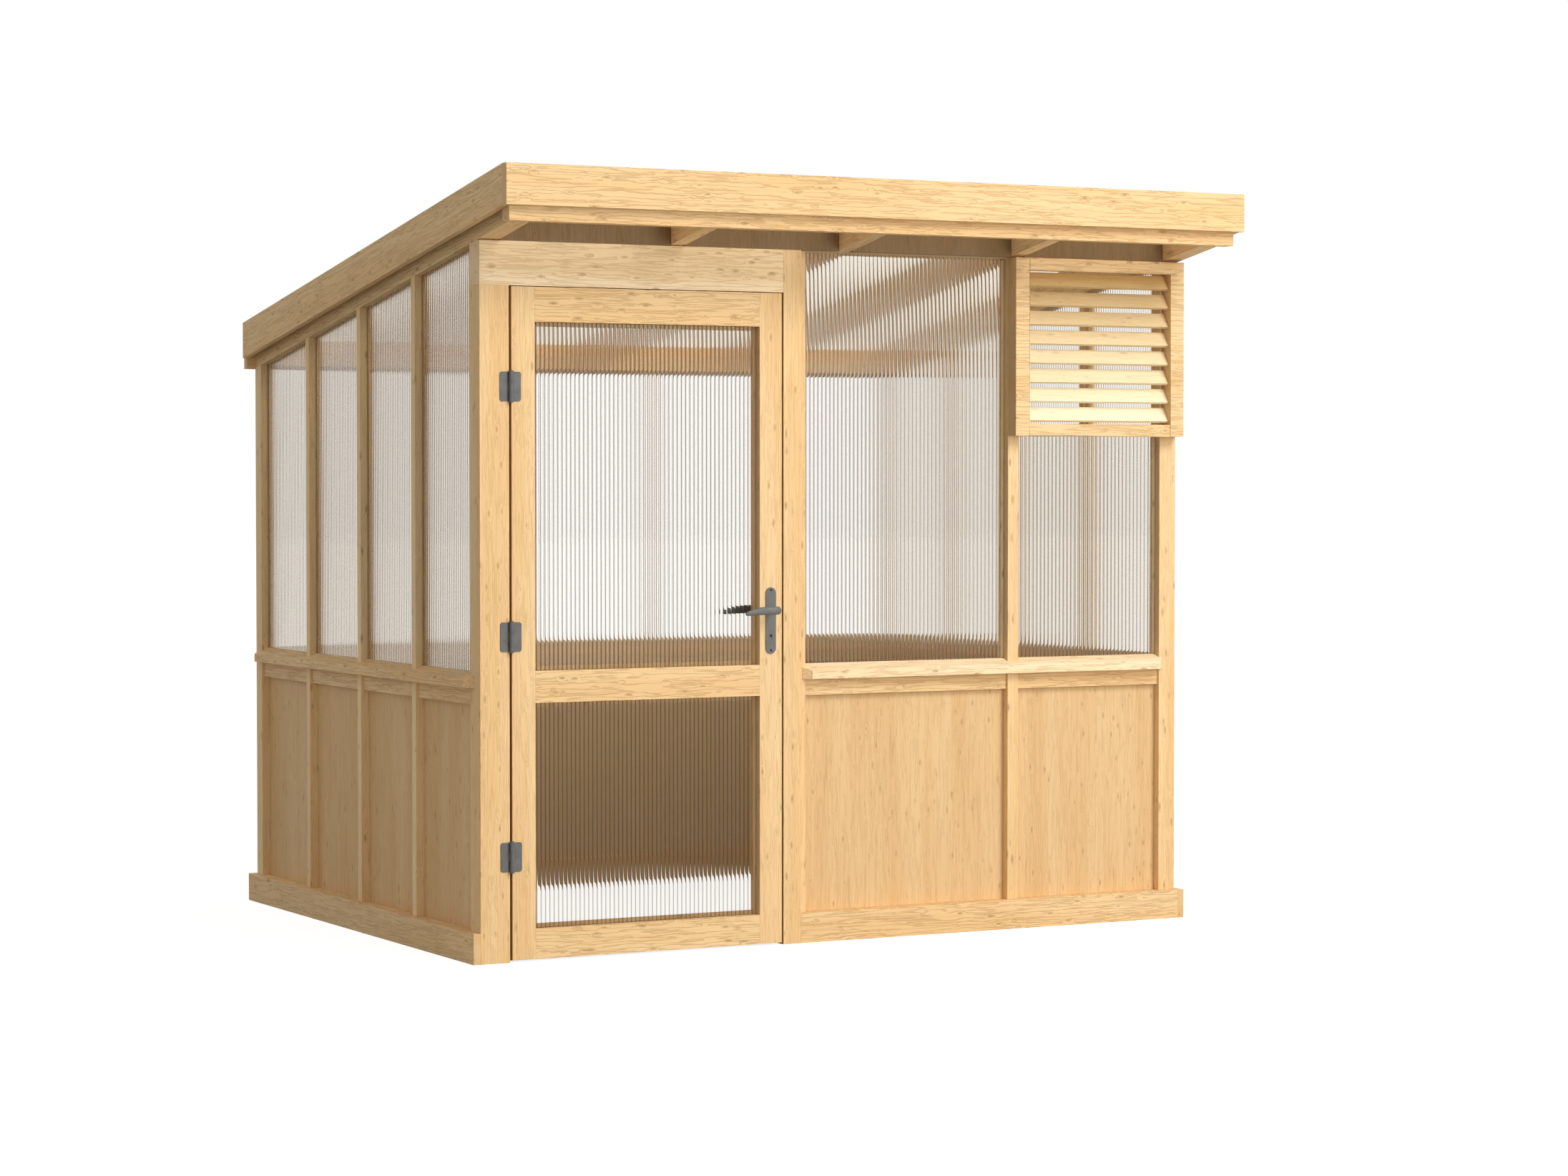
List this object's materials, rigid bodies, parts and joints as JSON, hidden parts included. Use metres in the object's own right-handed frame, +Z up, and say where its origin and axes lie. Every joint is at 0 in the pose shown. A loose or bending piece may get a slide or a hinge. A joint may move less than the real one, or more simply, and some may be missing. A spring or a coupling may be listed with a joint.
{
  "type": "lean-to greenhouse",
  "caption": "Wooden lean-to greenhouse with a sloping translucent roof, ribbed clear panes over boarded lower walls, a hinged door and a louvred vent.",
  "frame": {"origin": "middle of the outer box, on the ground", "axes": "+X from the door end to the vent end along the front, +Y from the front to the back, +Z up"},
  "size_m": [2.402, 2.075, 2.19],
  "materials": {
    "upright_softwood": "planed pine, grain upright",
    "crosswise_softwood": "planed pine, grain from left to right",
    "lengthwise_softwood": "planed pine, grain from front to back",
    "boarding": "planed pine boarding, grain upright",
    "ribbed_sheet": "clear, with upright ribs",
    "roof_sheet": "translucent, with ribs down the slope",
    "capping": "light grey",
    "hinge_metal": "dull grey coating",
    "lock_metal": "dull grey coating"
  },
  "bodies": {
    "frame": {"base_board_front": "crosswise_softwood", "base_board_back": "crosswise_softwood", "base_boards_side": "lengthwise_softwood", "ground_beams": "lengthwise_softwood", "threshold_board": "crosswise_softwood", "door_post_hinge": "upright_softwood", "door_post_latch": "upright_softwood", "door_header": "crosswise_softwood", "door_stops": "upright_softwood", "strike_plate": "lock_metal", "front_posts": "upright_softwood", "left_posts": "upright_softwood", "right_posts": "upright_softwood", "back_posts": "upright_softwood", "front_and_back_rails": "crosswise_softwood", "side_rails": "lengthwise_softwood", "front_sill": "crosswise_softwood", "left_sill": "lengthwise_softwood", "right_sill": "lengthwise_softwood", "back_sill": "crosswise_softwood", "front_panels": "boarding", "left_panels": "boarding", "right_panels": "boarding", "back_panels": "boarding", "front_panes": "ribbed_sheet", "left_panes": "ribbed_sheet", "right_panes": "ribbed_sheet", "back_panes": "ribbed_sheet", "glazing_beads": "upright_softwood", "end_rafters": "lengthwise_softwood", "middle_rafters": "lengthwise_softwood", "front_trimmer": "crosswise_softwood", "rear_trimmer": "crosswise_softwood", "front_fascia": "crosswise_softwood", "side_fascias": "lengthwise_softwood", "frieze_boards": "boarding", "roof_noggins": "crosswise_softwood", "roof_sheets": "roof_sheet", "roof_capping_bars": "capping", "vent_frame": "crosswise_softwood", "vent_slats": "crosswise_softwood", "hinge_frame_leaves": "hinge_metal", "hinge_pins": "hinge_metal", "hinge_frame_screws": "hinge_metal"},
    "door": {"door_hinge_stile": "upright_softwood", "door_lock_stile": "upright_softwood", "door_top_rail": "crosswise_softwood", "door_lock_rail": "crosswise_softwood", "door_bottom_rail": "crosswise_softwood", "door_panes": "ribbed_sheet", "door_beads": "upright_softwood", "hinge_door_leaves": "hinge_metal", "hinge_door_screws": "hinge_metal", "lock_case": "lock_metal", "handle_backplates": "lock_metal", "backplate_screws": "lock_metal"},
    "handle": {"lever_handles": "lock_metal", "handle_spindle": "lock_metal"},
    "latch": {"latch_bolt": "lock_metal"},
    "dead_bolt": {"dead_bolt": "lock_metal"}
  },
  "joints": [
    {"name": "door_hinge", "type": "hinge", "parent": "frame", "child": "door", "pos_m": [-1.06725, -0.7667, 0.905], "axis": [0, 0, -1], "range_deg": [0, 170]},
    {"name": "handle_turn", "type": "hinge", "parent": "door", "child": "handle", "pos_m": [-0.2523, -0.7595, 0.966], "axis": [0, -1, 0], "range_deg": [0, 40], "stiffness_Nm_per_rad": 1, "springref_deg": -20.05},
    {"name": "latch_slide", "type": "slide", "parent": "door", "child": "latch", "axis": [-1, 0, 0], "range_m": [0, 0.0115]},
    {"name": "dead_bolt_slide", "type": "slide", "parent": "door", "child": "dead_bolt", "axis": [1, 0, 0], "range_m": [0, 0.014]}
  ],
  "couplings": [
    {"joint": "latch_slide", "follows": "handle_turn", "m_per_rad": 0.0163}
  ]
}
